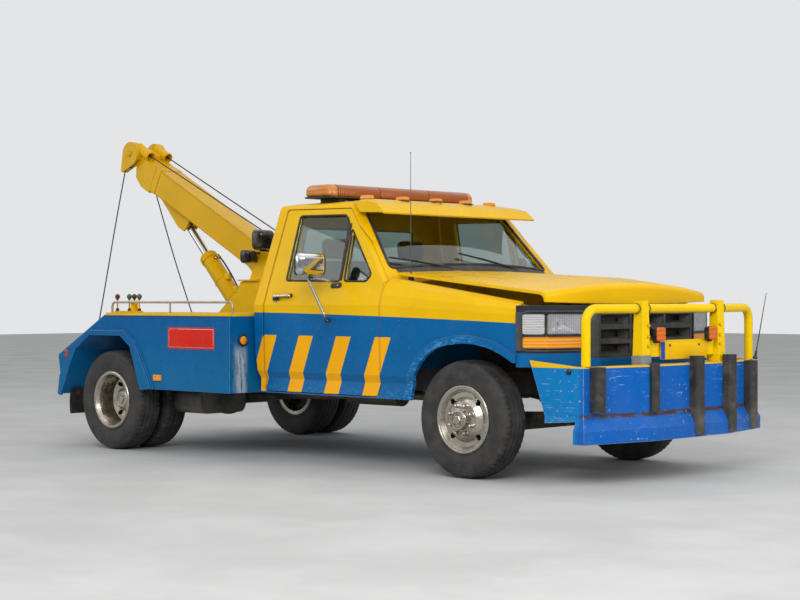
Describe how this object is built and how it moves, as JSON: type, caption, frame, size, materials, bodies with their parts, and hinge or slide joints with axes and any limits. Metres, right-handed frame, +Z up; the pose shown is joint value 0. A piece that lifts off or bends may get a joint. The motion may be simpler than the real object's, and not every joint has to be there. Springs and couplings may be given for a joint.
{
  "type": "tow truck",
  "caption": "Regular-cab recovery truck with twin rear wheels, side-locker wrecker body, push bumper and a telescoping hydraulic boom.",
  "frame": {"origin": "on the ground, under the middle of the truck's overall box", "axes": "+X forward, +Y to the truck's left, +Z up"},
  "size_m": [5.89, 2.63, 2.5407],
  "materials": {
    "paint_yellow": "gloss enamel, chipped and scuffed",
    "paint_blue": "gloss enamel, scratched and faded",
    "chrome_trim": "polished",
    "dark_steel": "satin black chassis paint, dusty",
    "exhaust_steel": "dull, heat stained",
    "cast_iron": "rough cast, oily",
    "rubber_black": "matt, scuffed",
    "tyre_rubber": "matt, dusty",
    "black_plastic": "grained",
    "window_glass": "clear, faint green tint",
    "lamp_clear": "moulded lens",
    "lamp_amber": "translucent lens",
    "lamp_red": "translucent lens",
    "wire_rope": "greasy strands",
    "seat_cloth": "woven, worn"
  },
  "bodies": {
    "chassis": {"amber_lamps": "lamp_amber", "boom_tower": "paint_yellow", "bull_bar": "paint_yellow", "bumper": "paint_blue", "bumper_strips": "rubber_black", "cab_shell": "paint_yellow", "control_levers": "dark_steel", "dashboard": "black_plastic", "driveshaft": "dark_steel", "engine": "cast_iron", "exhaust": "exhaust_steel", "fender_left": "paint_yellow", "fender_right": "paint_yellow", "frame": "dark_steel", "front_axle": "dark_steel", "fuel_tank": "dark_steel", "grille": "black_plastic", "headlamps": "lamp_clear", "leaf_springs": "dark_steel", "light_bar": "lamp_amber", "nose_panel": "black_plastic", "rear_axle": "cast_iron", "rear_window": "window_glass", "roof_feet": "black_plastic", "seat": "seat_cloth", "side_rails": "chrome_trim", "steering_wheel": "black_plastic", "sun_visor": "paint_yellow", "tail_lamps": "lamp_red", "windscreen": "window_glass", "work_lamps": "black_plastic", "wrecker_body": "paint_blue"},
    "door_left": {"door_left": "paint_yellow", "door_glass_left": "window_glass", "mirror_left": "chrome_trim"},
    "door_right": {"door_right": "paint_yellow", "door_glass_right": "window_glass", "mirror_right": "chrome_trim"},
    "hood": {"hood": "paint_yellow"},
    "knuckle_left": {"knuckle_left": "cast_iron"},
    "knuckle_right": {"knuckle_right": "cast_iron"},
    "wheel_front_left": {"tyre_front_left": "tyre_rubber", "rim_front_left": "chrome_trim"},
    "wheel_front_right": {"tyre_front_right": "tyre_rubber", "rim_front_right": "chrome_trim"},
    "wheels_rear_left": {"tyres_rear_left": "tyre_rubber", "rims_rear_left": "chrome_trim"},
    "wheels_rear_right": {"tyres_rear_right": "tyre_rubber", "rims_rear_right": "chrome_trim"},
    "boom": {"boom_outer": "paint_yellow", "winch_lines": "wire_rope", "winches": "dark_steel"},
    "boom_slide": {"boom_inner": "paint_yellow", "boom_head": "paint_yellow"},
    "cylinder": {"lift_cylinder": "paint_yellow"},
    "rod": {"lift_rod": "chrome_trim"}
  },
  "joints": [
    {"name": "door_left_hinge", "type": "hinge", "parent": "chassis", "child": "door_left", "pos_m": [1.076, 1.0225, 0.9], "axis": [0, 0, -1], "range_deg": [0, 65]},
    {"name": "door_right_hinge", "type": "hinge", "parent": "chassis", "child": "door_right", "pos_m": [1.076, -1.0225, 0.9], "axis": [0, 0, 1], "range_deg": [0, 65]},
    {"name": "hood_hinge", "type": "hinge", "parent": "chassis", "child": "hood", "pos_m": [1.1233, 0, 1.366], "axis": [0, -1, 0], "range_deg": [0, 50]},
    {"name": "steer_left", "type": "hinge", "parent": "chassis", "child": "knuckle_left", "pos_m": [1.785, 0.745, 0.386], "axis": [0, 0, 1], "range_deg": [-32, 32]},
    {"name": "steer_right", "type": "hinge", "parent": "chassis", "child": "knuckle_right", "pos_m": [1.785, -0.745, 0.386], "axis": [0, 0, 1], "range_deg": [-32, 32]},
    {"name": "spin_front_left", "type": "hinge", "parent": "knuckle_left", "child": "wheel_front_left", "pos_m": [1.785, 0.875, 0.386], "axis": [0, 1, 0], "continuous": true},
    {"name": "spin_front_right", "type": "hinge", "parent": "knuckle_right", "child": "wheel_front_right", "pos_m": [1.785, -0.875, 0.386], "axis": [0, 1, 0], "continuous": true},
    {"name": "spin_rear_left", "type": "hinge", "parent": "chassis", "child": "wheels_rear_left", "pos_m": [-1.69, 1.1, 0.386], "axis": [0, 1, 0], "continuous": true},
    {"name": "spin_rear_right", "type": "hinge", "parent": "chassis", "child": "wheels_rear_right", "pos_m": [-1.69, -1.1, 0.386], "axis": [0, 1, 0], "continuous": true},
    {"name": "boom_hinge", "type": "hinge", "parent": "chassis", "child": "boom", "pos_m": [-1.2, 0, 1.5], "axis": [0, 1, 0], "range_deg": [-20, 15]},
    {"name": "boom_extend", "type": "slide", "parent": "boom", "child": "boom_slide", "axis": [-0.8854, 0, 0.4648], "range_m": [0, 0.9]},
    {"name": "cylinder_hinge", "type": "hinge", "parent": "chassis", "child": "cylinder", "pos_m": [-1.505, 0, 1.06], "axis": [0, 1, 0], "range_deg": [-19, 14]},
    {"name": "rod_slide", "type": "slide", "parent": "cylinder", "child": "rod", "axis": [-0.6863, 0, 0.7273], "range_m": [-0.19, 0.145]}
  ],
  "couplings": [
    {"joint": "steer_right", "follows": "steer_left", "ratio": 1},
    {"joint": "cylinder_hinge", "follows": "boom_hinge", "ratio": 0.91},
    {"joint": "rod_slide", "follows": "boom_hinge", "m_per_rad": 0.527}
  ]
}
